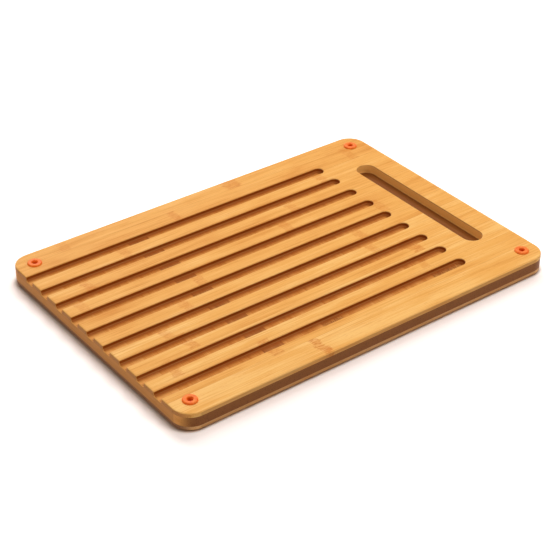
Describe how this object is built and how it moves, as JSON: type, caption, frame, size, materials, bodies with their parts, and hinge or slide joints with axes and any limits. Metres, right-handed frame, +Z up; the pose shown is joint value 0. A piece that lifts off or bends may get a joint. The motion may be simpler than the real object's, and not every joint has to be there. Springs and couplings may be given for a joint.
{
  "type": "bread board",
  "caption": "Laminated bamboo bread board with crumb grooves open at one end, a grip recess across the other and silicone ring feet.",
  "frame": {"origin": "on the surface that the feet stand on, under the middle of the board", "axes": "+X along the crumb grooves towards the grip recess, +Y to the back long side, +Z up out of the grooved face"},
  "size_m": [0.4, 0.28, 0.02],
  "materials": {
    "bamboo_top": "oiled bamboo, lengthwise grain",
    "bamboo_core": "bamboo laid crosswise, dark end grain on the long sides",
    "bamboo_bottom": "oiled bamboo, lengthwise grain",
    "silicone_foot": "satin orange silicone"
  },
  "bodies": {
    "root": {"bottom_strip_01": "bamboo_bottom", "bottom_strip_02": "bamboo_bottom", "bottom_strip_03": "bamboo_bottom", "bottom_strip_04": "bamboo_bottom", "bottom_strip_05": "bamboo_bottom", "bottom_strip_06": "bamboo_bottom", "bottom_strip_07": "bamboo_bottom", "bottom_strip_08": "bamboo_bottom", "bottom_strip_09": "bamboo_bottom", "bottom_strip_10": "bamboo_bottom", "bottom_strip_11": "bamboo_bottom", "bottom_strip_12": "bamboo_bottom", "core_strip_01": "bamboo_core", "core_strip_02": "bamboo_core", "core_strip_03": "bamboo_core", "core_strip_04": "bamboo_core", "core_strip_05": "bamboo_core", "core_strip_06": "bamboo_core", "core_strip_07": "bamboo_core", "core_strip_08": "bamboo_core", "core_strip_09": "bamboo_core", "core_strip_10": "bamboo_core", "core_strip_11": "bamboo_core", "core_strip_12": "bamboo_core", "core_strip_13": "bamboo_core", "core_strip_14": "bamboo_core", "core_strip_15": "bamboo_core", "core_strip_16": "bamboo_core", "core_strip_17": "bamboo_core", "core_strip_18": "bamboo_core", "core_strip_19": "bamboo_core", "foot_back_left": "silicone_foot", "foot_back_right": "silicone_foot", "foot_front_left": "silicone_foot", "foot_front_right": "silicone_foot", "top_strip_01": "bamboo_top", "top_strip_02": "bamboo_top", "top_strip_03": "bamboo_top", "top_strip_04": "bamboo_top", "top_strip_04_grip_end": "bamboo_top", "top_strip_05": "bamboo_top", "top_strip_05_grip_end": "bamboo_top", "top_strip_06": "bamboo_top", "top_strip_06_grip_end": "bamboo_top", "top_strip_07": "bamboo_top", "top_strip_07_grip_end": "bamboo_top", "top_strip_08": "bamboo_top", "top_strip_08_grip_end": "bamboo_top", "top_strip_09": "bamboo_top", "top_strip_09_grip_end": "bamboo_top", "top_strip_10": "bamboo_top", "top_strip_11": "bamboo_top", "top_strip_12": "bamboo_top"}
  },
  "joints": []
}
